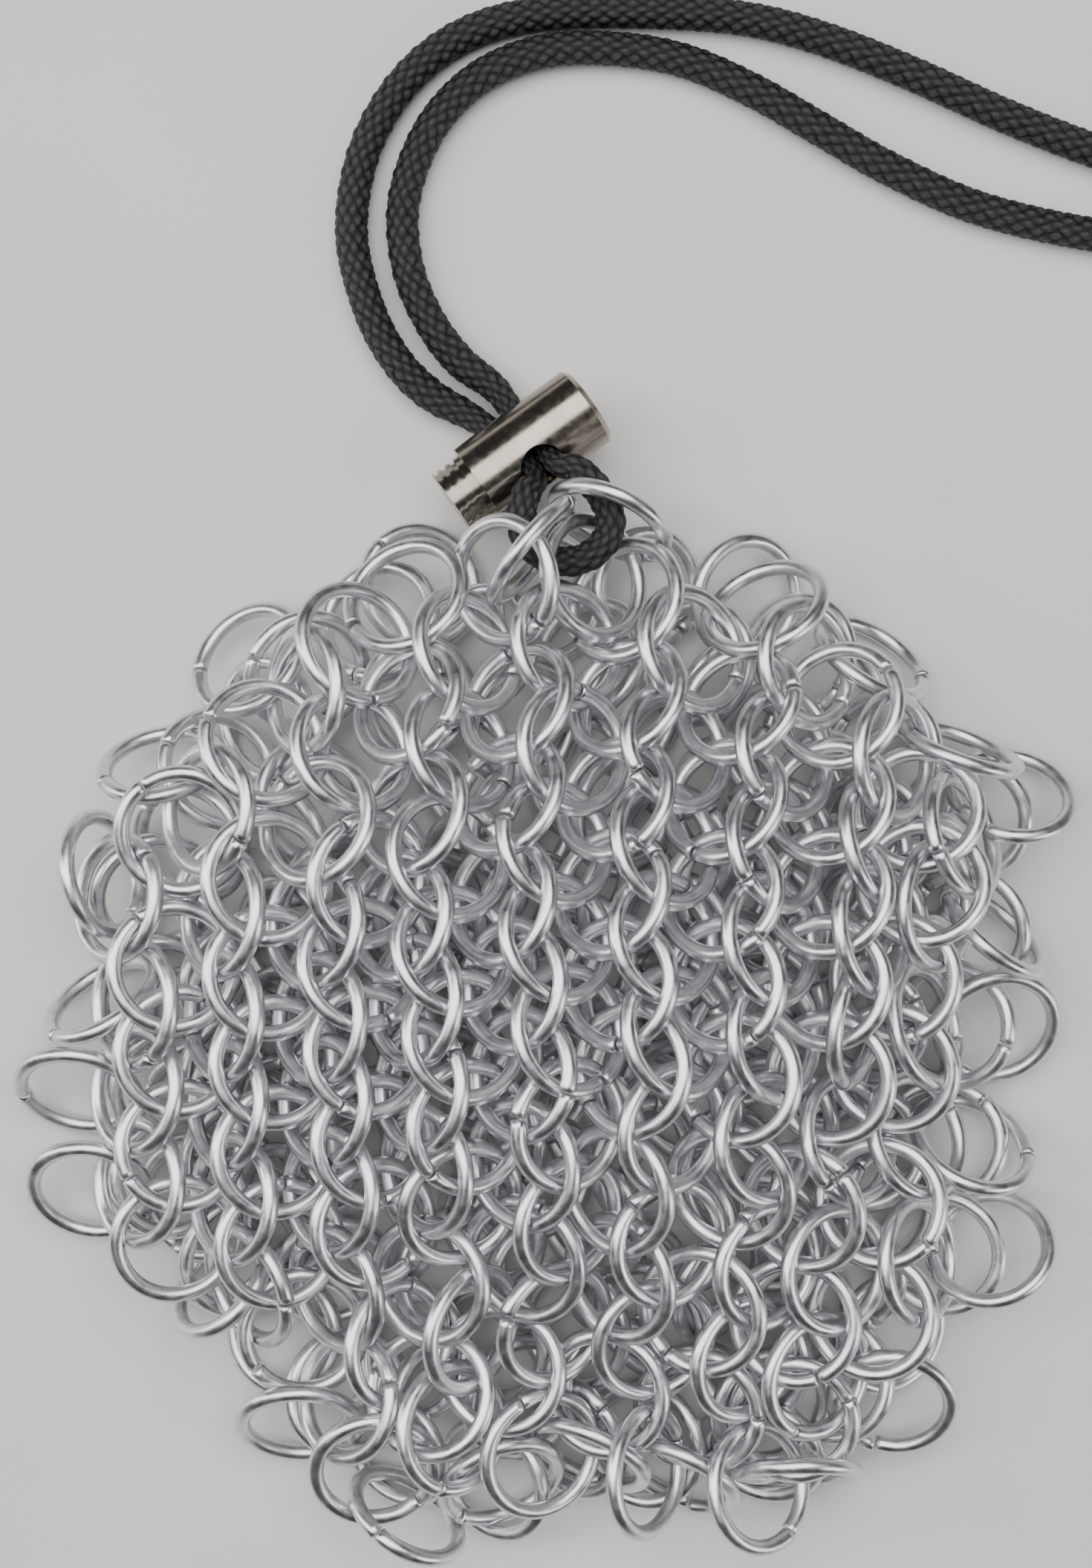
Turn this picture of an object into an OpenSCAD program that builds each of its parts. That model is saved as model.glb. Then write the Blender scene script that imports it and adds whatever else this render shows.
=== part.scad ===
// Chain mail drawstring pouch, lying flat: two faces of round-wire mail in the European
// four-in-one weave, joined round the edge, with a braided cord and a cylindrical cord lock.
// +Z is up and the pouch rests on z = 0. +Y points at the mouth.

/* [Mail] */
// Diameter of the ring wire
wire_d = 1.6; // [1.2:0.1:1.6]
// Inside diameter of a ring
ring_id = 10; // [9.8:0.1:10.4]
// Distance between two neighbouring columns of rings
column_step = 4.8; // [4.8:0.05:5]
// Distance between two neighbouring rows of rings
row_step = 5.2; // [5.2:0.05:5.4]
// Lean of each ring to the left or right, alternating row by row, in degrees
lean_side = 36; // [35:0.5:37]
// Lean of every ring towards the mouth, in degrees
lean_up = 12; // [11:0.5:13]
// Half the distance between the two faces at the edge
half_gap = 4.6; // [4.6:0.1:5]
// Height that the front face bulges at its middle
bulge_h = 5; // [4:0.5:5.5]

/* [Cord lock] */
// Outside diameter of the barrel
barrel_d = 8.4; // [8:0.1:9]
// Length of the barrel
barrel_l = 13.6; // [13:0.1:14.5]
// Bore of the barrel
bore_d = 7; // [6.8:0.1:7.2]
// Diameter of the cross hole that the cord runs through
cord_hole_d = 5; // [4.9:0.05:5.2]
// Radial clearance of the plunger in the bore
plunger_gap = 0.05; // [0.03:0.01:0.1]
// Travel of the plunger into the barrel
plunger_travel = 1.8; // [1:0.1:1.9]

/* [Cord] */
// Diameter of the braided cord
cord_d = 3.5; // [3:0.1:3.5]
// Diameter of one strand where the lock squeezes it
squeezed_d = 2.4; // [2.2:0.05:2.4]
// Diameter of the cord where the mouth rings hang on it
gathered_d = 3.1; // [3:0.05:3.1]

/* [Hidden] */
FINE = 64;
wire_r = wire_d / 2;
ring_r = ring_id / 2 + wire_r;

// Lattice: cell (i, j) holds a ring when i + j is even and the cell lies inside the outline.
first_row = -8;
last_row = 9;
last_edge_row = 8;
first_column = -9;
last_column = 8;
outline = 12;
ROW_COUNT = last_row - first_row + 1;

// The faces mirror each other about this height, so that the back face rests on z = 0.
lean = atan(norm([tan(lean_side), tan(lean_up)]));
mid_z = half_gap + ring_r * sin(lean) + wire_r;
bulge_r = 50;

// Edge rings stand upright between the faces: offset outwards, offset along the edge, turn.
edge_side = [5.2, -0.9, 30];
edge_bottom = [2, -2.4, 56];

// Three rings that hang on the cord and hold the mouth: centre and axis of each.
mouth_front_left = [[-1.4, 51.8, 12.3], [0.84, -0.26, 0.48]];
mouth_front_right = [[4.6, 52, 13.4], [0.83, 0.45, 0.33]];
mouth_back = [[5.1, 54.7, 9.5], [-0.49, -0.68, 0.54]];

// The middle of the pouch and its lock, which becomes the origin.
middle = [0, 12.5, 0];

// Cord lock. Its own axis runs from the closed end to the open end, and its cross hole
// leans over so that the cord comes out towards the pouch.
barrel_turn = 36;
hole_lean = 46;
hole_s = 7.6;
lock_at = [-1.9, 65.6, 7.2];
closed_dir = [cos(barrel_turn), sin(barrel_turn), 0];
hole_dir = [
    sin(barrel_turn) * sin(hole_lean),
    -cos(barrel_turn) * sin(hole_lean),
    cos(hole_lean)
];
end_wall = 0.8;
edge_chamfer = 0.5;
plunger_d = bore_d - 2 * plunger_gap;
plunger_in_s = 4.4;
plunger_out_s = 16.8;
slot_w = 4.4;
slot_s = [hole_s - cord_hole_d / 2 - 0.1, hole_s + cord_hole_d / 2 + plunger_travel + 0.3];
groove_w = 0.5;
groove_depth = 0.25;
groove_s = [14.3, 15.3, 16.2];

// Spring between the end wall and the plunger.
spring_wire_d = 0.5;
spring_d = 5.2;
spring_turns = 3.5;
spring_gap = 0.06;
SPRING_STEPS = 48;
SPRING_SIDES = 6;

// Cord: the two strands lie side by side in the lock, this far from the hole's axis.
strand_offset = 1.25;
CORD_SIDES = 8;
cord_r = cord_d / 2;
bed_z = cord_r;
loop_start = lock_at - strand_offset * closed_dir;
loop_end = lock_at + strand_offset * closed_dir;

// Route of the loop that gathers the mouth: x, y, z and the cord's diameter there.
loop_route = [
    [each loop_start, squeezed_d],
    [each (loop_start + 4.4 * hole_dir), squeezed_d],
    [-1.9, 60.6, 11.4, 3],
    [-2.4, 58.5, 11.8, gathered_d],
    [-2, 56.4, 11.6, gathered_d],
    [-0.3, 54.6, 11.4, gathered_d],
    [2, 54, 11.2, gathered_d],
    [4.3, 54.6, 11.4, gathered_d],
    [6, 56.4, 11.6, gathered_d],
    [6.2, 58.6, 11.8, gathered_d],
    [5, 61, 11.6, gathered_d],
    [3, 63, 11, 3],
    [each (loop_end + 4.4 * hole_dir), squeezed_d],
    [each loop_end, squeezed_d]
];

// Route of the outer strand from the lock to the knot.
outer_route = [
    [each loop_start, squeezed_d],
    [each (loop_start - 4.3 * hole_dir), squeezed_d],
    [-8, 69.8, 2.4, 3],
    [-11.8, 72, bed_z, cord_d],
    [-15.2, 75.4, bed_z, cord_d],
    [-18, 80.6, bed_z, cord_d],
    [-19.8, 88, bed_z, cord_d],
    [-18.9, 95.6, bed_z, cord_d],
    [-16, 101.8, bed_z, cord_d],
    [-11.6, 106.6, bed_z, cord_d],
    [-6, 109.6, bed_z, cord_d],
    [1, 110.9, bed_z, cord_d],
    [10, 111, bed_z, cord_d],
    [20, 110.3, bed_z, cord_d],
    [28, 108.3, bed_z, cord_d],
    [37, 104.8, bed_z, cord_d],
    [47, 100.3, bed_z, cord_d],
    [56, 96.8, bed_z, cord_d],
    [64, 94.4, bed_z, cord_d],
    [72, 93, 2.2, cord_d],
    [79, 92.4, 4, cord_d]
];

// Route of the inner strand from the lock to the knot.
inner_route = [
    [each loop_end, squeezed_d],
    [each (loop_end - 4.3 * hole_dir), squeezed_d],
    [-5.2, 72.5, 2.3, 3],
    [-8.8, 75.4, bed_z, cord_d],
    [-11.8, 79.4, bed_z, cord_d],
    [-14, 84.6, bed_z, cord_d],
    [-14.6, 90.6, bed_z, cord_d],
    [-13.2, 96.2, bed_z, cord_d],
    [-10.4, 101, bed_z, cord_d],
    [-6, 104.8, bed_z, cord_d],
    [0, 107, bed_z, cord_d],
    [7, 107.2, bed_z, cord_d],
    [14, 106, bed_z, cord_d],
    [21, 103, bed_z, cord_d],
    [28, 99, bed_z, cord_d],
    [35, 95, bed_z, cord_d],
    [44, 91, bed_z, cord_d],
    [55, 88.4, bed_z, cord_d],
    [64, 87.6, bed_z, cord_d],
    [72, 87.8, 2.2, cord_d],
    [79, 88.6, 4, cord_d]
];

// The knot joins both strands, whose ends meet its flat end, and rests on the table.
knot_at = [79, 90.5, 5.2];
knot_d = 10.4;
knot_l = 12.6;
knot_chamfer = 1.6;

ROW_NAMES = [for (k = [1 : ROW_COUNT]) str(k < 10 ? "0" : "", k)];

// ---- Helpers ----

function is_even(n) = n % 2 == 0;
function unit(v) = v / norm(v);
function ring_x(i) = (i + 0.5) * column_step;
function ring_y(j) = j * row_step;
function in_outline(i, j) = is_even(i + j) && abs(i) + abs(j) <= outline;
function on_edge(i, j) =
    abs(i) + abs(j) == outline || i == first_column || i == last_column;

// Height of the front face above the middle, and its upward normal.
function front_height(x, y) = half_gap + bulge_h * (1 - (x * x + y * y) / (bulge_r * bulge_r));
function front_slope(a) = -2 * bulge_h * a / (bulge_r * bulge_r);
function front_normal(x, y) = unit([-front_slope(x), -front_slope(y), 1]);

// Axis of a ring that leans to one side in even rows and to the other in odd rows.
function row_side(j) = is_even(j) ? 1 : -1;
function front_axis(x, y, j) =
    let (n = front_normal(x, y))
    let (across = unit([1, 0, front_slope(x)]))
    n + row_side(j) * tan(lean_side) * across + tan(lean_up) * cross(n, across);
function back_axis(j) = [row_side(j) * tan(lean_side), tan(lean_up), -1];

// One closed wire ring, given its centre and the axis of its hole.
module ring(centre, axis) {
    translate(centre)
        rotate([0, acos(axis.z / norm(axis)), atan2(axis.y, axis.x)])
            rotate_extrude($fn = FINE)
                translate([ring_r, 0])
                    circle(r = wire_r, $fn = 24);
}

// Moves the pouch so that the middle of its box is above the origin.
module placed() {
    translate(-middle) children();
}

// Places a part drawn along +Z from the closed end of the lock, with +X along the cross hole.
module in_lock() {
    z_dir = -closed_dir;
    y_dir = cross(z_dir, hole_dir);
    start = lock_at + hole_s * closed_dir;
    multmatrix([
        [hole_dir.x, y_dir.x, z_dir.x, start.x],
        [hole_dir.y, y_dir.y, z_dir.y, start.y],
        [hole_dir.z, y_dir.z, z_dir.z, start.z],
        [0, 0, 0, 1]
    ]) children();
}

// Sweeps a round tube along a route of [x, y, z, diameter] points.
function point_at(route, k) = [route[k].x, route[k].y, route[k].z];
function heading(route, k) =
    unit(point_at(route, min(k + 1, len(route) - 1)) - point_at(route, max(k - 1, 0)));
function circle_at(centre, ahead, d, sides) =
    let (side = unit(cross(ahead, [0, 0, 1])))
    let (above = cross(side, ahead))
    [for (a = [0 : sides - 1])
        centre + d / 2 * (cos(360 * (a + 0.5) / sides) * side + sin(360 * (a + 0.5) / sides) * above)];
module tube(points, headings, diameters, sides) {
    rows = len(points);
    vertices = [
        for (k = [0 : rows - 1])
            each circle_at(points[k], headings[k], diameters[k], sides)
    ];
    walls = [
        for (k = [0 : rows - 2], a = [0 : sides - 1])
            let (b = (a + 1) % sides)
            each [
                [k * sides + a, k * sides + b, (k + 1) * sides + b],
                [k * sides + a, (k + 1) * sides + b, (k + 1) * sides + a]
            ]
    ];
    first_cap = [for (a = [sides - 1 : -1 : 0]) a];
    last_cap = [for (a = [0 : sides - 1]) (rows - 1) * sides + a];
    polyhedron(vertices, concat(walls, [first_cap, last_cap]), convexity = 6);
}

// ---- Mail ----

module front_row(j) {
    color("silver")
        for (i = [first_column : last_column])
            if (in_outline(i, j)) {
                x = ring_x(i);
                y = ring_y(j);
                ring([x, y, mid_z + front_height(x, y)], front_axis(x, y, j));
            }
}

module back_row(j) {
    color("silver")
        for (i = [first_column : last_column])
            if (in_outline(i, j))
                ring([ring_x(i), ring_y(j), mid_z - half_gap], back_axis(j));
}

// One upright ring at cell (i, j): outwards is the way out of the pouch, hand is 1 or -1.
module edge_ring(i, j, outwards, hand, setting) {
    along = [-outwards.y, outwards.x, 0];
    turn = hand * setting[2];
    centre = [ring_x(i), ring_y(j), mid_z] + setting[0] * outwards + hand * setting[1] * along;
    ring(centre, cos(turn) * along + sin(turn) * outwards);
}

// Along each side, one end ring of a pair of rows carries the edge ring.
module edge_rings_side(columns) {
    color("silver")
        for (j = [first_row + 1 : last_edge_row], i = columns)
            if (in_outline(i, j) && on_edge(i, j) && is_even(j) == (i >= 0)) {
                outwards = unit([ring_x(i), ring_y(j), 0]);
                hand = (j >= 0 ? 1 : -1) * (i >= 0 ? 1 : -1);
                edge_ring(i, j, outwards, hand, edge_side);
            }
}

module edge_rings_left() {
    edge_rings_side([first_column : -1]);
}

module edge_rings_right() {
    edge_rings_side([0 : last_column]);
}

module edge_rings_bottom() {
    color("silver")
        for (i = [first_column : last_column])
            if (in_outline(i, first_row))
                edge_ring(i, first_row, [0, -1, 0], -1, edge_bottom);
}

module mouth_rings() {
    color("silver")
        for (m = [mouth_front_left, mouth_front_right, mouth_back])
            ring(m[0], m[1]);
}

// ---- Cord lock ----

module lock_barrel() {
    color("dimgray")
        in_lock()
            difference() {
                union() {
                    cylinder(d1 = barrel_d - 2 * edge_chamfer, d2 = barrel_d, h = edge_chamfer, $fn = FINE);
                    translate([0, 0, edge_chamfer])
                        cylinder(d = barrel_d, h = barrel_l - edge_chamfer, $fn = FINE);
                }
                translate([0, 0, end_wall])
                    cylinder(d = bore_d, h = barrel_l, $fn = FINE);
                translate([0, 0, hole_s])
                    rotate([0, 90, 0])
                        cylinder(d = cord_hole_d, h = 2 * barrel_d, center = true, $fn = FINE);
            }
}

// The slot's ends are round, like the cord that rests in it.
module plunger_slot() {
    end_r = slot_w / 2;
    first_s = slot_s[0] + end_r;
    last_s = slot_s[1] - end_r;
    for (s = [first_s, last_s])
        translate([0, 0, s])
            rotate([0, 90, 0])
                cylinder(r = end_r, h = 2 * plunger_d, center = true, $fn = FINE);
    translate([-plunger_d, -end_r, first_s])
        cube([2 * plunger_d, slot_w, last_s - first_s]);
}

module lock_plunger() {
    color("dimgray")
        in_lock()
            difference() {
                translate([0, 0, plunger_in_s])
                    cylinder(d = plunger_d, h = plunger_out_s - plunger_in_s, $fn = FINE);
                plunger_slot();
                for (s = groove_s)
                    translate([0, 0, s])
                        difference() {
                            cylinder(d = plunger_d + 1, h = groove_w, $fn = FINE);
                            translate([0, 0, -groove_w])
                                cylinder(d = plunger_d - 2 * groove_depth, h = 3 * groove_w, $fn = FINE);
                        }
            }
}

module lock_spring() {
    low = end_wall + spring_gap + spring_wire_d / 2;
    high = plunger_in_s - spring_gap - spring_wire_d / 2;
    turn = 360 * spring_turns / SPRING_STEPS;
    centres = [
        for (k = [0 : SPRING_STEPS])
            [
                spring_d / 2 * cos(k * turn),
                spring_d / 2 * sin(k * turn),
                low + (high - low) * k / SPRING_STEPS
            ]
    ];
    headings = [for (k = [0 : SPRING_STEPS]) [-sin(k * turn), cos(k * turn), 0]];
    diameters = [for (k = [0 : SPRING_STEPS]) spring_wire_d];
    color("gray")
        in_lock()
            tube(centres, headings, diameters, SPRING_SIDES);
}

// ---- Drawstring ----

// Square ends along the hole's axis let the loop and the strands meet face to face.
module cord(route, first_heading, last_heading) {
    last = len(route) - 1;
    headings = [
        for (k = [0 : last])
            k == 0 ? first_heading : k == last && norm(last_heading) > 0 ? last_heading : heading(route, k)
    ];
    tube([for (p = route) [p.x, p.y, p.z]], headings, [for (p = route) p[3]], CORD_SIDES);
}

module drawstring_loop() {
    color("black")
        cord(loop_route, hole_dir, -hole_dir);
}

module drawstring_strand_outer() {
    color("black")
        cord(outer_route, -hole_dir, [1, 0, 0]);
}

module drawstring_strand_inner() {
    color("black")
        cord(inner_route, -hole_dir, [1, 0, 0]);
}

module drawstring_knot() {
    color("black")
        translate(knot_at)
            rotate([0, 90, 0]) {
                cylinder(d1 = knot_d - 2 * knot_chamfer, d2 = knot_d, h = knot_chamfer, $fn = FINE);
                translate([0, 0, knot_chamfer])
                    cylinder(d = knot_d, h = knot_l - 2 * knot_chamfer, $fn = FINE);
                translate([0, 0, knot_l - knot_chamfer])
                    cylinder(d1 = knot_d, d2 = knot_d - 2 * knot_chamfer, h = knot_chamfer, $fn = FINE);
            }
}

// ---- Assembly ----

placed() {
    for (k = [1 : ROW_COUNT]) {
        j = last_row + 1 - k;
        front_row(j);
        back_row(j);
    }
    edge_rings_left();
    edge_rings_right();
    edge_rings_bottom();
    mouth_rings();
    lock_barrel();
    lock_plunger();
    lock_spring();
    drawstring_loop();
    drawstring_strand_outer();
    drawstring_strand_inner();
    drawstring_knot();
}
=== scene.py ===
import math

import bpy
import numpy as np
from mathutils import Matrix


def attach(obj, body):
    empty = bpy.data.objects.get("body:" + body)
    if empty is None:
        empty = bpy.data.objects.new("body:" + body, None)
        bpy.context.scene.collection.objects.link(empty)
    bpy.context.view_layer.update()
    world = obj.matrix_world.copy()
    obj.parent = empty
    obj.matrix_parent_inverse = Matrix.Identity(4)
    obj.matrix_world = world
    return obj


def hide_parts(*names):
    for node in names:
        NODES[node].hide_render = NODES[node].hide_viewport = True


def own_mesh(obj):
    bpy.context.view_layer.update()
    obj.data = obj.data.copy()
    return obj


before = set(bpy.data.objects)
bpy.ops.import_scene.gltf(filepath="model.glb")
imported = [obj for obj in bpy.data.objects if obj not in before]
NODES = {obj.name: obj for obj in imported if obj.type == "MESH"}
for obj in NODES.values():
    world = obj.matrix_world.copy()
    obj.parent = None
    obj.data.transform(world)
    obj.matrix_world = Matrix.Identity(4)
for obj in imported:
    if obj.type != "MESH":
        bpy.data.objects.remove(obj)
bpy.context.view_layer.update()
POUCH = "pouch"

# Sizes, in metres. The cord is squeezed in the lock, and a little where the mouth rings hang on it.
MM = 0.001
WIRE_R = 0.8 * MM
RING_R = 5.8 * MM
CORD_D = 3.5 * MM
SQUEEZED_D = 2.4 * MM
GATHERED_D = 3.1 * MM

# The cord lock's place and directions, as in the part's source.
MIDDLE = np.array([0, 12.5, 0]) * MM
BARREL_TURN = math.radians(36)
HOLE_LEAN = math.radians(46)
STRAND_OFFSET = 1.25 * MM
LOCK_AT = np.array([-1.9, 65.6, 7.2]) * MM
CLOSED_DIR = np.array([math.cos(BARREL_TURN), math.sin(BARREL_TURN), 0])
HOLE_DIR = np.array([
    math.sin(BARREL_TURN) * math.sin(HOLE_LEAN),
    -math.cos(BARREL_TURN) * math.sin(HOLE_LEAN),
    math.cos(HOLE_LEAN),
])
LOOP_START = LOCK_AT - STRAND_OFFSET * CLOSED_DIR
LOOP_END = LOCK_AT + STRAND_OFFSET * CLOSED_DIR


# ---- Small helpers ----

def unit(v):
    return v / np.maximum(np.linalg.norm(v, axis=-1, keepdims=True), 1e-12)


def mesh_object(name, vertices, faces, smooth, material):
    mesh = bpy.data.meshes.new(name)
    mesh.from_pydata(np.asarray(vertices).tolist(), [], faces)
    mesh.polygons.foreach_set("use_smooth", smooth)
    mesh.materials.append(material)
    piece = bpy.data.objects.new(name, mesh)
    bpy.context.scene.collection.objects.link(piece)
    return piece


def set_vectors(piece, name, vectors):
    """Stores a vector at each vertex, for the material to read."""
    attribute = piece.data.attributes.new(name, "FLOAT_VECTOR", "POINT")
    attribute.data.foreach_set("vector", np.asarray(vectors).ravel())


def tube_faces(rows, columns):
    """Quads of a tube whose vertices are listed ring by ring."""
    k, a = np.meshgrid(np.arange(rows - 1) * columns, np.arange(columns), indexing="ij")
    k, a = k.ravel(), a.ravel()
    b = (a + 1) % columns
    return np.stack([k + a, k + b, k + columns + b, k + columns + a], 1).tolist()


def end_caps(rows, columns):
    """A flat face at each end of such a tube."""
    around = np.arange(columns)
    return [around[::-1].tolist(), ((rows - 1) * columns + around).tolist()]


# ---- Camera ----

def add_camera():
    """Looks straight down, at the distance that gives the picture's perspective."""
    height = 226 * MM
    half_view = 80.5 * MM
    middle_y = 19.8 * MM
    data = bpy.data.cameras.new("camera")
    data.sensor_fit = "VERTICAL"
    data.angle = 2 * math.atan(half_view / height)
    data.clip_start = 0.01
    camera = bpy.data.objects.new("camera", data)
    camera.location = (0, middle_y, height)
    bpy.context.scene.collection.objects.link(camera)
    bpy.context.scene.camera = camera


# ---- Materials ----

class Material:
    """A Principled material with short helpers for its procedural detail."""

    def __init__(self, name, colour, metallic=0.0, roughness=0.5):
        self.material = bpy.data.materials.new(name)
        self.material.use_nodes = True
        self.nodes = self.material.node_tree.nodes
        self.links = self.material.node_tree.links
        self.shader = self.nodes["Principled BSDF"]
        self.shader.inputs["Base Color"].default_value = (*colour, 1)
        self.shader.inputs["Metallic"].default_value = metallic
        self.shader.inputs["Roughness"].default_value = roughness

    def node(self, kind, **values):
        made = self.nodes.new(kind)
        for name, value in values.items():
            if name in made.inputs:
                made.inputs[name].default_value = value
            else:
                setattr(made, name, value)
        return made

    def coordinates(self, stretch=(1, 1, 1), attribute=None):
        """Object coordinates, or a named attribute's, in a stretched space."""
        mapping = self.node("ShaderNodeMapping", Scale=stretch)
        if attribute:
            source = self.node("ShaderNodeAttribute", attribute_name=attribute).outputs["Vector"]
        else:
            source = self.node("ShaderNodeTexCoord").outputs["Object"]
        self.links.new(source, mapping.inputs["Vector"])
        return mapping.outputs["Vector"]

    def noise(self, scale, detail=3.0, stretch=(1, 1, 1), attribute=None):
        made = self.node("ShaderNodeTexNoise", Scale=scale, Detail=detail)
        self.links.new(self.coordinates(stretch, attribute), made.inputs["Vector"])
        return made.outputs["Fac"]

    def height(self, attribute):
        """The third value of a named attribute."""
        source = self.node("ShaderNodeAttribute", attribute_name=attribute)
        parts = self.node("ShaderNodeSeparateXYZ")
        self.links.new(source.outputs["Vector"], parts.inputs["Vector"])
        return parts.outputs["Z"]

    def ramp(self, source, stops):
        made = self.node("ShaderNodeValToRGB")
        elements = made.color_ramp.elements
        while len(elements) < len(stops):
            elements.new(0.5)
        for element, (place, colour) in zip(elements, stops):
            element.position = place
            element.color = (*colour, 1)
        self.links.new(source, made.inputs["Fac"])
        return made.outputs["Color"]

    def grey_ramp(self, source, low, high, start=0.3, end=0.7):
        return self.ramp(source, [(start, (low,) * 3), (end, (high,) * 3)])

    def colour(self, source):
        self.links.new(source, self.shader.inputs["Base Color"])

    def roughness(self, source):
        self.links.new(source, self.shader.inputs["Roughness"])

    def bump(self, source, strength, distance):
        made = self.node("ShaderNodeBump", Strength=strength, Distance=distance)
        self.links.new(source, made.inputs["Height"])
        self.links.new(made.outputs["Normal"], self.shader.inputs["Normal"])


def mail_material():
    """Bright drawn aluminium wire: faint lines along the wire, a little scuffing."""
    made = Material("bright_wire", (0.76, 0.77, 0.78), metallic=1.0, roughness=0.32)
    lines = made.noise(1.0, 2.0, stretch=(0.3, 7, 7), attribute="wire")
    scuffs = made.noise(900, 4.0)
    made.colour(made.ramp(scuffs, [(0.3, (0.68, 0.69, 0.71)), (0.62, (0.84, 0.845, 0.855))]))
    made.roughness(made.grey_ramp(scuffs, 0.27, 0.4))
    made.bump(lines, 0.35, 0.00003)
    return made.material


def cord_material():
    """Matt black nylon yarn with fine fibres, painted shade in the valleys between the yarns and a
    painted greyer sheen on their crowns.
    """
    made = Material("black_braid", (0.02, 0.02, 0.022), roughness=0.6)
    fibres = made.noise(1.0, 3.0, stretch=(60, 4, 1), attribute="yarn")
    shade_and_sheen_by_height = made.height("yarn")
    # Painted light: by the braid's height, the colour goes near black in the valleys between yarns
    # (painted shade) and greyer on the yarn crowns (painted sheen).
    made.colour(made.ramp(shade_and_sheen_by_height, [(0.3, (0.001, 0.001, 0.001)), (0.95, (0.035, 0.035, 0.038))]))
    made.roughness(made.grey_ramp(fibres, 0.3, 0.55))
    made.bump(fibres, 0.6, 0.00008)
    made.shader.inputs["Specular IOR Level"].default_value = 0.5
    return made.material


def lock_material(name, colour):
    """Polished dark nickel with a faint cloudiness and small scratches."""
    made = Material(name, colour, metallic=1.0, roughness=0.2)
    marks = made.noise(1500, 3.0)
    patches = made.noise(260, 2.0)
    dark = tuple(0.78 * c for c in colour)
    made.colour(made.ramp(patches, [(0.3, dark), (0.7, colour)]))
    made.roughness(made.grey_ramp(marks, 0.16, 0.26))
    made.bump(marks, 0.04, 0.00003)
    return made.material


def spring_material():
    made = Material("spring_wire", (0.55, 0.55, 0.56), metallic=1.0, roughness=0.3)
    made.roughness(made.grey_ramp(made.noise(1200, 2.0), 0.22, 0.4))
    return made.material


def floor_material():
    made = Material("pale_floor", (0.8, 0.79, 0.77), roughness=0.6)
    made.colour(made.ramp(made.noise(30, 2.0), [(0.3, (0.78, 0.77, 0.75)), (0.7, (0.82, 0.81, 0.79))]))
    return made.material


# ---- Cord ----

CURVE_STEPS = 40


def smooth_route(points, step):
    """A Catmull-Rom curve through the points, resampled to equal steps."""
    p = np.asarray(points, float)
    p = np.vstack([2 * p[0] - p[1], p, 2 * p[-1] - p[-2]])
    dense = []
    for a, b, c, d in zip(p[:-3], p[1:-2], p[2:-1], p[3:]):
        t = np.linspace(0, 1, CURVE_STEPS, endpoint=False)[:, None]
        dense.append(0.5 * (2 * b + (c - a) * t + (2 * a - 5 * b + 4 * c - d) * t ** 2
                            + (3 * b - a - 3 * c + d) * t ** 3))
    dense = np.vstack(dense + [p[-2:-1]])
    along = np.concatenate([[0], np.cumsum(np.linalg.norm(np.diff(dense[:, :3], axis=0), axis=1))])
    count = max(2, int(round(along[-1] / step)))
    at = np.linspace(0, along[-1], count + 1)
    return np.stack([np.interp(at, along, dense[:, k]) for k in range(dense.shape[1])], 1), at


def carried_frames(centres):
    """Side and upper directions carried along the curve without twisting."""
    ahead = unit(np.gradient(centres, axis=0))
    side = unit(np.cross(ahead[0], [0, 0, 1.0]))
    sides = []
    for direction in ahead:
        side = unit(side - side.dot(direction) * direction)
        sides.append(side)
    sides = np.array(sides)
    return sides, np.cross(sides, ahead)


YARNS = 8
YARN_PERIOD = 1.95 * MM
AROUND = 80
ALONG_STEP = 0.2 * MM
YARN_DEPTH = 0.2


def braid_height(around, along):
    """How high the braid stands, from 0 to 1, where two sets of yarns cross over and under."""
    a = around * YARNS + along / YARN_PERIOD
    b = around * YARNS - along / YARN_PERIOD
    a_on_top = (np.floor(a) + np.floor(b)) % 2 == 0
    across = np.where(a_on_top, a, b) % 1
    lengthwise = np.where(a_on_top, b, a) % 1
    crown = np.sin(np.pi * across) ** 0.7
    return crown * (0.45 + 0.55 * np.sin(np.pi * lengthwise)), across, lengthwise


def braided_cord(name, route, material):
    """A tube along [x, y, z, diameter] points, with the braid's yarns in its surface."""
    line, along = smooth_route(route, ALONG_STEP)
    centres, diameters = line[:, :3], line[:, 3]
    sides, uppers = carried_frames(centres)
    around = np.arange(AROUND) / AROUND
    height, across, lengthwise = braid_height(around[None], along[:, None])
    radius = diameters[:, None] / 2 * (1 - YARN_DEPTH * (1 - height))
    turn = 2 * math.pi * around[None]
    walls = (centres[:, None]
             + (radius * np.cos(turn))[..., None] * sides[:, None]
             + (radius * np.sin(turn))[..., None] * uppers[:, None])
    rows = len(centres)
    vertices = np.vstack([walls.reshape(-1, 3), centres[:1], centres[-1:]])
    first, last = rows * AROUND, (rows - 1) * AROUND
    faces = tube_faces(rows, AROUND)
    faces += [[(a + 1) % AROUND, a, first] for a in range(AROUND)]
    faces += [[last + a, last + (a + 1) % AROUND, first + 1] for a in range(AROUND)]
    piece = mesh_object(name, vertices, faces, [True] * len(faces), material)
    yarn = np.zeros((len(vertices), 3))
    yarn[:first] = np.stack([across, lengthwise, height], -1).reshape(-1, 3)
    set_vectors(piece, "yarn", yarn)
    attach(piece, POUCH)
    return piece, centres, along[-1]


def placed(points):
    """Points of the part's source, in millimetres with the diameter last, in this frame."""
    p = np.array(points, float) * MM
    p[:, :3] -= MIDDLE
    return p


# Heights and diameters along the routes, in millimetres.
BED = 1.75
BAND = SQUEEZED_D / MM
FULL = CORD_D / MM
GATHERED = GATHERED_D / MM


def in_mm(point):
    return [*(point / MM), BAND]


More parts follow.
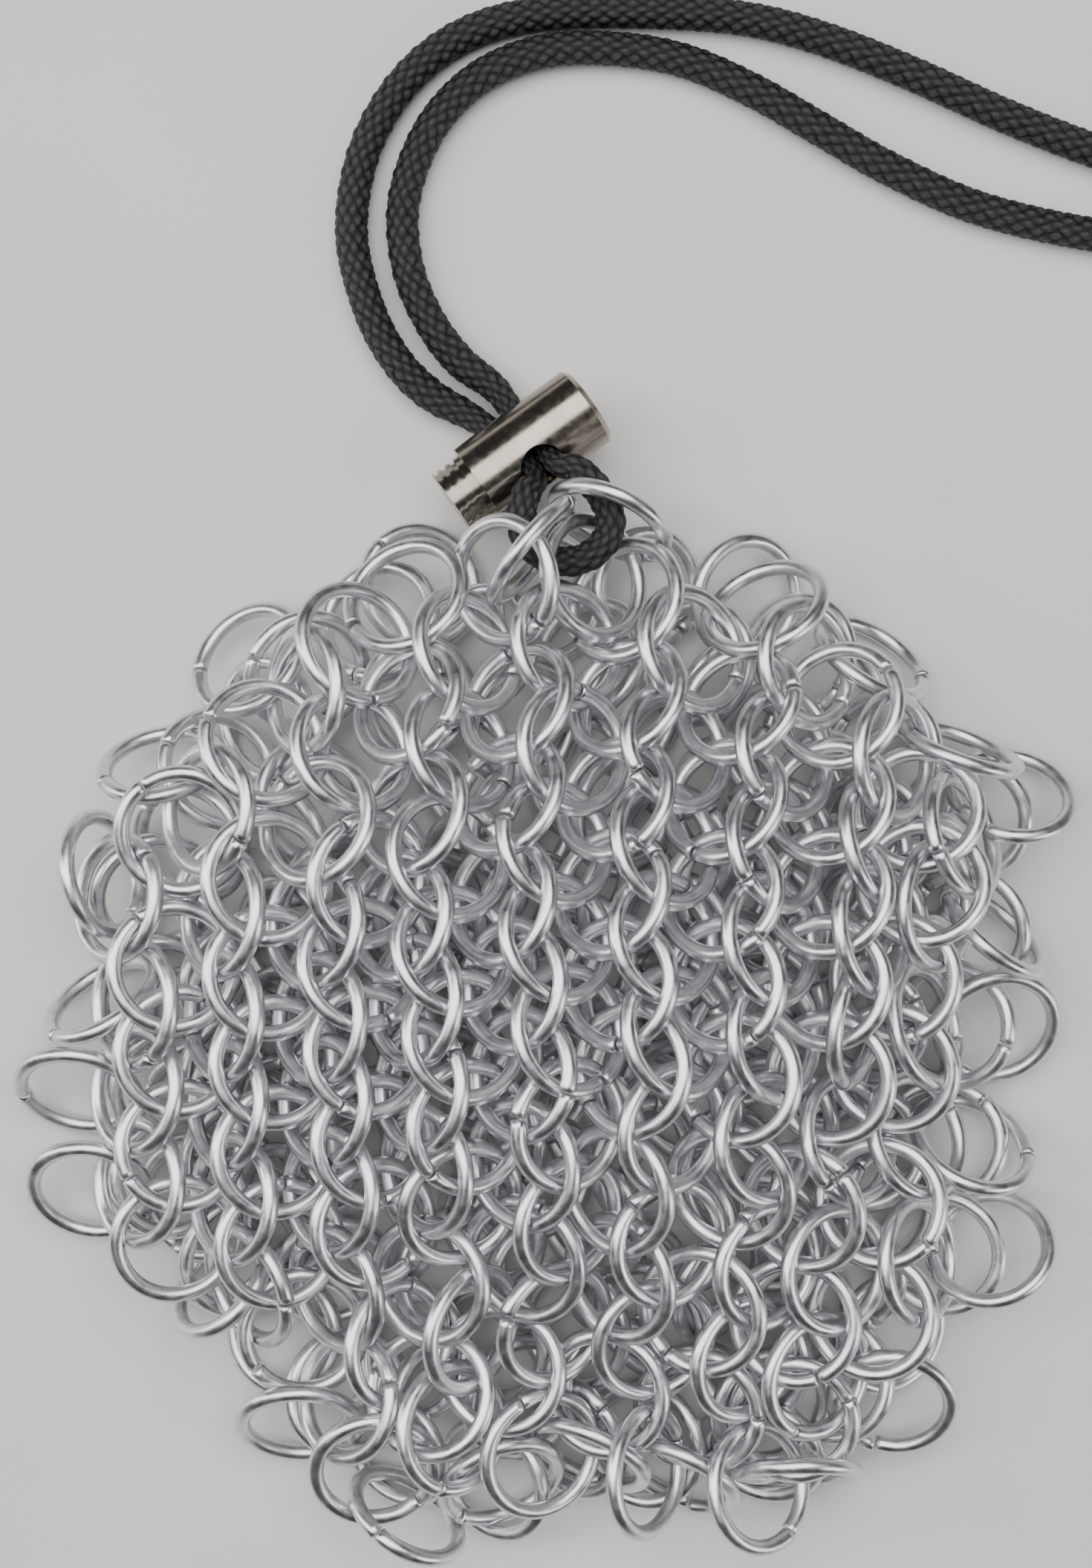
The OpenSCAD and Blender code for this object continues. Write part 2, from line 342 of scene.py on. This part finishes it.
LOOP_ROUTE = [
    in_mm(LOOP_START),
    in_mm(LOOP_START + 4.4 * MM * HOLE_DIR),
    [-1.9, 60.6, 11.4, 3],
    [-2.4, 58.5, 11.8, GATHERED],
    [-2, 56.4, 11.6, GATHERED],
    [-0.3, 54.6, 11.4, GATHERED],
    [2, 54, 11.2, GATHERED],
    [4.3, 54.6, 11.4, GATHERED],
    [6, 56.4, 11.6, GATHERED],
    [6.2, 58.6, 11.8, GATHERED],
    [5, 61, 11.6, GATHERED],
    [3, 63, 11, 3],
    in_mm(LOOP_END + 4.4 * MM * HOLE_DIR),
    in_mm(LOOP_END),
]
OUTER_ROUTE = [
    in_mm(LOOP_START),
    in_mm(LOOP_START - 4.3 * MM * HOLE_DIR),
    [-8, 69.8, 2.4, 3],
    [-11.8, 72, BED, FULL],
    [-15.2, 75.4, BED, FULL],
    [-18, 80.6, BED, FULL],
    [-19.8, 88, BED, FULL],
    [-18.9, 95.6, BED, FULL],
    [-16, 101.8, BED, FULL],
    [-11.6, 106.6, BED, FULL],
    [-6, 109.6, BED, FULL],
    [1, 110.9, BED, FULL],
    [10, 111, BED, FULL],
    [20, 110.3, BED, FULL],
    [28, 108.3, BED, FULL],
    [37, 104.8, BED, FULL],
    [47, 100.3, BED, FULL],
    [56, 96.8, BED, FULL],
    [64, 94.4, BED, FULL],
    [72, 93, 2.2, FULL],
    [79, 92.4, 4, FULL],
]
INNER_ROUTE = [
    in_mm(LOOP_END),
    in_mm(LOOP_END - 4.3 * MM * HOLE_DIR),
    [-5.2, 72.5, 2.3, 3],
    [-8.8, 75.4, BED, FULL],
    [-11.8, 79.4, BED, FULL],
    [-14, 84.6, BED, FULL],
    [-14.6, 90.6, BED, FULL],
    [-13.2, 96.2, BED, FULL],
    [-10.4, 101, BED, FULL],
    [-6, 104.8, BED, FULL],
    [0, 107, BED, FULL],
    [7, 107.2, BED, FULL],
    [14, 106, BED, FULL],
    [21, 103, BED, FULL],
    [28, 99, BED, FULL],
    [35, 95, BED, FULL],
    [44, 91, BED, FULL],
    [55, 88.4, BED, FULL],
    [64, 87.6, BED, FULL],
    [72, 87.8, 2.2, FULL],
    [79, 88.6, 4, FULL],
]


# The outer strand is wound round the inner one to make the knot, and both end in short tails.
KNOT_TURNS = 3
KNOT_START = np.array([80.6, 90.4, 5.35])
KNOT_LENGTH = 11
KNOT_RADIUS = 3.55
CORE_ROUTE = [
    [78.6, 88.55, 3.9, FULL],
    [80.2, 89.2, 4.7, FULL],
    [82, 90.2, 5.3, FULL],
    [86, 90.4, 5.35, FULL],
    [90, 90.3, 5.2, FULL],
    [93, 89.4, 3.9, FULL],
    [95.6, 88.2, 2.2, FULL],
    [98, 87.2, BED, 3.4],
    [98.7, 86.9, BED, 2.2],
]
WRAP_TAIL = [
    [94.6, 94.2, 3.4, FULL],
    [96.8, 95.4, 2, FULL],
    [99, 96.4, BED, 3.4],
    [99.7, 96.7, BED, 2.2],
]


def wrap_route():
    """Round the inner strand, over the top first, with the turns lying side by side."""
    turns = np.linspace(0, KNOT_TURNS, 12 * KNOT_TURNS + 1)
    angle = 2 * math.pi * turns
    spiral = KNOT_START + np.stack([
        KNOT_LENGTH * turns / KNOT_TURNS,
        KNOT_RADIUS * np.cos(angle),
        KNOT_RADIUS * np.sin(angle),
    ], 1)
    lead = [[78.6, 92.45, 3.9, FULL]]
    return lead + [[*point, FULL] for point in spiral] + WRAP_TAIL


def add_knot(material):
    core, _, _ = braided_cord("knot_core", placed(CORE_ROUTE), material)
    wrap, _, _ = braided_cord("knot_wrap", placed(wrap_route()), material)
    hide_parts("drawstring_knot")
    return [core, wrap]


def add_cords(material):
    """The loop through the mouth and the lock, and the two strands that leave to the right."""
    knot = add_knot(material)
    for node, route, end in (
        ("drawstring_loop", LOOP_ROUTE, "object"),
        ("drawstring_strand_outer", OUTER_ROUTE, "knot"),
        ("drawstring_strand_inner", INNER_ROUTE, "knot"),
    ):
        piece, centres, length = braided_cord("braid_" + node, placed(route), material)
        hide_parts(node)


# ---- Mail rings ----

WELD = 1e-7


def loose_parts(mesh):
    """Corner points of each separate solid in a node's mesh."""
    points = np.zeros(len(mesh.vertices) * 3)
    mesh.vertices.foreach_get("co", points)
    points = points.reshape(-1, 3)
    edges = np.zeros(len(mesh.edges) * 2, int)
    mesh.edges.foreach_get("vertices", edges)
    edges = edges.reshape(-1, 2)
    _, same = np.unique(np.round(points / WELD).astype(np.int64), axis=0, return_inverse=True)
    same = same.ravel()
    edges = same[edges]
    label = np.arange(same.max() + 1)
    while True:
        before = label.copy()
        low = np.minimum(label[edges[:, 0]], label[edges[:, 1]])
        np.minimum.at(label, edges[:, 0], low)
        np.minimum.at(label, edges[:, 1], low)
        label = label[label]
        if np.array_equal(before, label):
            break
    first = np.zeros((len(label), 3))
    first[same] = points
    return [first[label == value] for value in np.unique(label)]


def read_rings(nodes):
    """Centre and axis of every ring, and the node that it belongs to."""
    centres, axes, owners = [], [], []
    for node in nodes:
        for points in loose_parts(NODES[node].data):
            centre = (points.min(0) + points.max(0)) / 2
            spread = (points - points.mean(0)).T @ (points - points.mean(0))
            _, vectors = np.linalg.eigh(spread)
            centres.append(centre)
            axes.append(vectors[:, 0])
            owners.append(node)
    return np.array(centres), np.array(axes), owners


# How the mail lies. Every ring has a wanted place and a wanted axis. SPREAD and LIFT scale and
# move the mail about the mouth, and SHOULDER widens it beside the mouth. FLATTER and RIM_FLATTER
# lay rings down, and RIM_DROP lowers the upper ones at the rim. LEAN and SLACK disturb each ring
# on its own, and FOLD_LEAN and FOLD_SHIFT disturb many together.
SEED = 7
SPREAD = np.array([1.01, 0.93, 1.0])
LIFT = np.array([0, 4, 0]) * MM
FLATTER = 0.6
RIM = (30 * MM, 46 * MM)
RIM_FLATTER = 4.0
RIM_DROP = 10 * MM
SHOULDER = (8 * MM, 36 * MM)
SHOULDER_SPREAD = 0.45
SHOULDER_WIDTH = 14 * MM
LEAN = 0.45
SLACK = 1.2 * MM
FOLD_LEAN = 0.7
FOLD_SHIFT = 2.0 * MM

# How the settling runs: the pull to the wanted places fades out over HELD_SHARE of the steps.
STEPS = 300
HOLD = 0.03
HELD_SHARE = 0.7
SINK = 0.01 * MM
PAIRS_EVERY = 40
PAIR_REACH = 2 * (RING_R + WIRE_R) + 2 * MM
RING_GAP = 2.06 * WIRE_R
NEAR_LINE = 16 * MM
LINE_SKIP = 6
FLOOR_TIP = 0.25
MOUTH = np.array([0, 40, 0]) * MM

# Points round a ring at which its gap to another is measured.
SAMPLES = 24
ANGLES = np.linspace(0, 2 * np.pi, SAMPLES, endpoint=False)
ANGLE_STEP = ANGLES[1]


def ring_basis(axes):
    """Two directions in each ring's plane."""
    steep = np.abs(axes[:, 2:]) < 0.9
    helper = np.where(steep, [[0, 0, 1.0]], [[1.0, 0, 0]])
    u = unit(np.cross(axes, helper))
    return u, np.cross(axes, u)


def nearest_on_ring(points, centres, axes):
    away = points - centres
    flat = away - (away * axes).sum(-1, keepdims=True) * axes
    return centres + RING_R * unit(flat)


def closest_points(centres, axes, a, b):
    """The nearest pair of points on rings a and b, sampled on a and refined once."""
    u, v = ring_basis(axes)
    spin = np.cos(ANGLES)[:, None] * u[a][:, None] + np.sin(ANGLES)[:, None] * v[a][:, None]
    on_a = centres[a][:, None] + RING_R * spin
    on_b = nearest_on_ring(on_a, centres[b][:, None], axes[b][:, None])
    gap = ((on_a - on_b) ** 2).sum(-1)
    best = gap.argmin(1)
    row = np.arange(len(a))
    here, left, right = gap[row, best], gap[row, best - 1], gap[row, (best + 1) % SAMPLES]
    offset = np.clip(0.5 * (left - right) / np.maximum(left - 2 * here + right, 1e-15), -0.5, 0.5)
    angle = (ANGLES[best] + offset * ANGLE_STEP)[:, None]
    point = centres[a] + RING_R * (np.cos(angle) * u[a] + np.sin(angle) * v[a])
    return point, nearest_on_ring(point, centres[b], axes[b])


def turn_axes(axes, rotation):
    axes += np.cross(rotation, axes)
    axes /= np.linalg.norm(axes, axis=1, keepdims=True)


def part_rings(centres, axes, a, b, gap):
    """Moves and turns rings that come nearer than gap apart, half of the way each time."""
    p, q = closest_points(centres, axes, a, b)
    away = p - q
    distance = np.linalg.norm(away, axis=1)
    hit = distance < gap
    p, q, a, b = p[hit], q[hit], a[hit], b[hit]
    away, distance = unit(away[hit]), distance[hit]
    inertia = RING_R ** 2 / 2
    turns = []
    for ring, point in ((a, p), (b, q)):
        turn = np.cross(point - centres[ring], away)
        turns.append(turn - (turn * axes[ring]).sum(1, keepdims=True) * axes[ring])
    weight = 2 + sum((t * t).sum(1) for t in turns) / inertia
    share = 0.5 * ((gap - distance) / weight)[:, None]
    shift = np.zeros_like(centres)
    rotation = np.zeros_like(centres)
    for ring, turn, sign in ((a, turns[0], 1), (b, turns[1], -1)):
        np.add.at(shift, ring, sign * share * away)
        np.add.at(rotation, ring, sign * share * turn / inertia)
    centres += shift
    turn_axes(axes, rotation)


def keep_off(centres, axes, line, gap):
    """Pushes rings off a stretch of cord or the lock, given as points along its middle."""
    apart = np.linalg.norm(centres[:, None] - line[None, ::LINE_SKIP], axis=2)
    near = np.where(apart.min(1) < NEAR_LINE)[0]
    on_line = np.repeat(line[None], len(near), 0)
    on_ring = nearest_on_ring(on_line, centres[near][:, None], axes[near][:, None])
    away = on_ring - on_line
    distance = np.linalg.norm(away, axis=2)
    best = distance.argmin(1)
    row = np.arange(len(near))
    away, distance, point = away[row, best], distance[row, best], on_ring[row, best]
    depth = np.maximum(gap - distance, 0)[:, None] * unit(away)
    centres[near] += 0.5 * depth
    arm = point - centres[near]
    rotation = np.zeros_like(centres)
    rotation[near] = 0.5 * np.cross(arm, depth) / RING_R ** 2
    turn_axes(axes, rotation)


def rest_on_floor(centres, axes):
    """Lifts rings out of the floor and tips them flatter."""
    tilt = np.sqrt(np.maximum(1 - axes[:, 2] ** 2, 0))
    depth = np.maximum(-(centres[:, 2] - RING_R * tilt - WIRE_R), 0)
    centres[:, 2] += 0.5 * depth
    axes[:, 2] += np.where(axes[:, 2] < 0, -1, 1) * depth / RING_R * FLOOR_TIP
    axes /= np.linalg.norm(axes, axis=1, keepdims=True)


def folds(random, points, waves=6):
    """A smooth random field over the mail, about 1 in size, with waves 25 to 60 mm long."""
    field = np.zeros_like(points)
    for _ in range(waves):
        direction = unit(random.normal(size=3) * [1, 1, 2])
        length = random.uniform(25, 60) * MM
        start = random.uniform(0, 2 * np.pi)
        height = np.sin(2 * np.pi * points @ direction / length + start)
        field += height[:, None] * random.normal(size=3)
    return field / math.sqrt(waves / 2)


def settle(centres, axes, obstacles):
    """Lets the mail lie loosely: rings drift to their wanted places and part where they meet."""
    random = np.random.default_rng(SEED)
    upright = np.where(axes[:, 2:] < 0, -1.0, 1.0) * [[0, 0, 1.0]]
    radius = np.linalg.norm(centres[:, :2], axis=1, keepdims=True)
    rim = np.clip((radius - RIM[0]) / (RIM[1] - RIM[0]), 0, 1)
    wanted_axes = unit(axes + (FLATTER + RIM_FLATTER * rim) * upright)
    wanted_axes += FOLD_LEAN * folds(random, centres) * [1, 1, 0.3]
    wanted_axes = unit(wanted_axes + LEAN * random.normal(size=axes.shape))
    wanted = MOUTH + LIFT + (centres - MOUTH) * SPREAD
    high = np.clip((centres[:, 1] - SHOULDER[0]) / (SHOULDER[1] - SHOULDER[0]), 0, 1)
    outer = np.clip(np.abs(centres[:, 0]) / SHOULDER_WIDTH, 0, 1)
    wanted[:, 0] *= 1 + SHOULDER_SPREAD * high * outer
    wanted += FOLD_SHIFT * folds(random, centres) * [1, 1, 0.6]
    wanted += SLACK * random.normal(size=centres.shape)
    wanted[:, 2] -= RIM_DROP * rim[:, 0] * centres[:, 2] / centres[:, 2].max()
    for step in range(STEPS):
        if step % PAIRS_EVERY == 0:
            apart = np.linalg.norm(centres[:, None] - centres[None], axis=2)
            a, b = np.where((apart < PAIR_REACH) & (apart > 0))
        push = max(0.0, 1 - step / (HELD_SHARE * STEPS))
        centres += HOLD * push * (wanted - centres)
        axes += 2 * HOLD * push * (wanted_axes - axes)
        axes /= np.linalg.norm(axes, axis=1, keepdims=True)
        centres[:, 2] -= SINK * push
        part_rings(centres, axes, a, b, RING_GAP)
        for line, radius in obstacles:
            keep_off(centres, axes, line, radius + WIRE_R)
        rest_on_floor(centres, axes)
    return centres, axes


# A ring's mesh, and the cut where its wire was closed: angles in radians.
STATIONS = 60
SIDES = 12
CUT_HALF_GAP = 0.012
CUT_MORE_GAP = 0.01
BEVEL_RUN = 0.018
BEVEL = 0.8
CUT_OFFSET = 0.22 * MM
CUT_FADE = 0.3
CUT_SEED = 11


def ring_mesh(centre, axis, joint, offset):
    """A wire circle with a thin gap where its bevelled cut ends face each other."""
    u, v = ring_basis(axis[None])
    u, v = u[0], v[0]
    half_gap = CUT_HALF_GAP + CUT_MORE_GAP * abs(offset)
    t = np.linspace(half_gap, 2 * np.pi - half_gap, STATIONS)
    t = np.concatenate([[t[0], t[0] + BEVEL_RUN], t[1:-1], [t[-1] - BEVEL_RUN, t[-1]]])
    from_end = np.minimum(t - half_gap, 2 * np.pi - half_gap - t)
    side = np.where(t < np.pi, 1, -1)
    wire = np.where(from_end < 1e-6, BEVEL, 1.0) * WIRE_R
    away = offset * CUT_OFFSET * side * np.exp(-from_end / CUT_FADE)
    flat = np.cos(t + joint)[:, None] * u + np.sin(t + joint)[:, None] * v
    s = 2 * np.pi * np.arange(SIDES) / SIDES
    radial = RING_R + wire[:, None] * np.cos(s)
    lift = away[:, None] + wire[:, None] * np.sin(s)
    vertices = centre + radial[..., None] * flat[:, None] + lift[..., None] * axis
    count = len(t)
    wire_at = np.zeros((count, SIDES, 3))
    wire_at[..., 0] = (t[:, None] + 9 * joint) * RING_R / WIRE_R
    wire_at[..., 1] = np.cos(s)
    wire_at[..., 2] = np.sin(s)
    faces = tube_faces(count, SIDES) + end_caps(count, SIDES)
    return vertices.reshape(-1, 3), faces, wire_at.reshape(-1, 3)


def add_mail(centres, axes, owners, material):
    random = np.random.default_rng(CUT_SEED)
    for node in sorted(set(owners)):
        vertices, faces, wire = [], [], []
        for index in [k for k, owner in enumerate(owners) if owner == node]:
            joint, offset = random.uniform(0, 2 * np.pi), random.uniform(-1, 1)
            v, f, w = ring_mesh(centres[index], axes[index], joint, offset)
            start = sum(len(part) for part in vertices)
            vertices.append(v)
            wire.append(w)
            faces += [[corner + start for corner in face] for face in f]
        smooth = [len(face) == 4 for face in faces]
        piece = mesh_object("mail_" + node, np.vstack(vertices), faces, smooth, material)
        set_vectors(piece, "wire", np.vstack(wire))
        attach(piece, POUCH)
        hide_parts(node)


# ---- Spring of the cord lock ----

# Places along the lock, from the barrel's closed end.
HOLE_FROM_END = 7.6 * MM
END_WALL = 0.8 * MM
PLUNGER_FROM_END = 4.4 * MM
SPRING_GAP = 0.06 * MM
SPRING_WIRE_R = 0.25 * MM
SPRING_R = 2.6 * MM
SPRING_TURNS = 3.5
STEPS_PER_TURN = 32


def along_lock(from_end):
    return LOCK_AT - MIDDLE + (HOLE_FROM_END - from_end) * CLOSED_DIR


def add_spring(material):
    """A coil between the end wall and the plunger."""
    turn = np.linspace(0, 2 * np.pi * SPRING_TURNS, int(STEPS_PER_TURN * SPRING_TURNS))[:, None]
    up = np.array([0, 0, 1.0])
    side = np.cross(CLOSED_DIR, up)
    radial = np.cos(turn) * side + np.sin(turn) * up
    first = along_lock(END_WALL + SPRING_GAP + SPRING_WIRE_R)
    last = along_lock(PLUNGER_FROM_END - SPRING_GAP - SPRING_WIRE_R)
    centres = first + (last - first) * turn / turn[-1] + SPRING_R * radial
    s = 2 * np.pi * np.arange(SIDES)[:, None] / SIDES
    walls = centres[:, None] + SPRING_WIRE_R * (np.cos(s) * radial[:, None] - np.sin(s) * CLOSED_DIR)
    count = len(centres)
    faces = tube_faces(count, SIDES) + end_caps(count, SIDES)
    smooth = [len(face) == 4 for face in faces]
    piece = mesh_object("spring_coil", walls.reshape(-1, 3), faces, smooth, material)
    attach(piece, POUCH)
    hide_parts("lock_spring")
    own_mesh(piece)


# ---- Carried-over CAD nodes ----

def repaint(node, material):
    data = NODES[node].data
    data.materials.clear()
    data.materials.append(material)


# ---- Floor and light ----

def add_floor():
    size = 3.0
    corners = [(-size, -size, 0), (size, -size, 0), (size, size, 0), (-size, size, 0)]
    floor = mesh_object("floor", corners, [[0, 1, 2, 3]], [False], floor_material())


def add_light(name, place, size, power):
    data = bpy.data.lights.new(name, "AREA")
    data.shape = "RECTANGLE"
    data.size, data.size_y = size
    data.energy = power
    lamp = bpy.data.objects.new(name, data)
    lamp.location = place
    direction = -np.array(place)
    lamp.rotation_euler = (
        math.atan2(np.hypot(direction[0], direction[1]), -direction[2]),
        0,
        math.atan2(direction[1], direction[0]) - math.pi / 2,
    )
    bpy.context.scene.collection.objects.link(lamp)


def add_lights():
    """A broad soft light overhead, a weaker one at each side and a dim room."""
    add_light("overhead", (-0.1, 0.2, 0.8), (1.2, 0.7), 9)
    add_light("left", (-0.7, 0.1, 0.35), (0.3, 0.7), 2.4)
    add_light("right", (0.7, -0.3, 0.4), (0.3, 0.6), 2.0)
    world = bpy.data.worlds.new("studio")
    world.use_nodes = True
    world.node_tree.nodes["Background"].inputs["Color"].default_value = (0.8, 0.82, 0.85, 1)
    world.node_tree.nodes["Background"].inputs["Strength"].default_value = 0.06
    bpy.context.scene.world = world


# ---- Assembly ----

add_camera()
add_cords(cord_material())
MAIL_NODES = [n for n in NODES if "_row_" in n or n.startswith("edge_rings") or n == "mouth_rings"]
ring_centres, ring_axes, ring_owners = read_rings(sorted(MAIL_NODES))

# The rings keep off the cord's loop and the lock.
LOOP_STEP = 0.8 * MM
LOCK_ENDS = (7 * MM, -9 * MM)
LOCK_POINTS = 20
LOCK_KEEP_OFF = 4.3 * MM
loop_line, _ = smooth_route(placed(LOOP_ROUTE), LOOP_STEP)
lock_line = np.linspace(*[LOCK_AT + end * CLOSED_DIR for end in LOCK_ENDS], LOCK_POINTS) - MIDDLE
OBSTACLES = [(loop_line[:, :3], CORD_D / 2), (lock_line, LOCK_KEEP_OFF)]
ring_centres, ring_axes = settle(ring_centres, ring_axes, OBSTACLES)
add_mail(ring_centres, ring_axes, ring_owners, mail_material())
repaint("lock_barrel", lock_material("dark_nickel_barrel", (0.44, 0.39, 0.33)))
repaint("lock_plunger", lock_material("dark_nickel_plunger", (0.38, 0.34, 0.29)))
add_spring(spring_material())
add_floor()
add_lights()
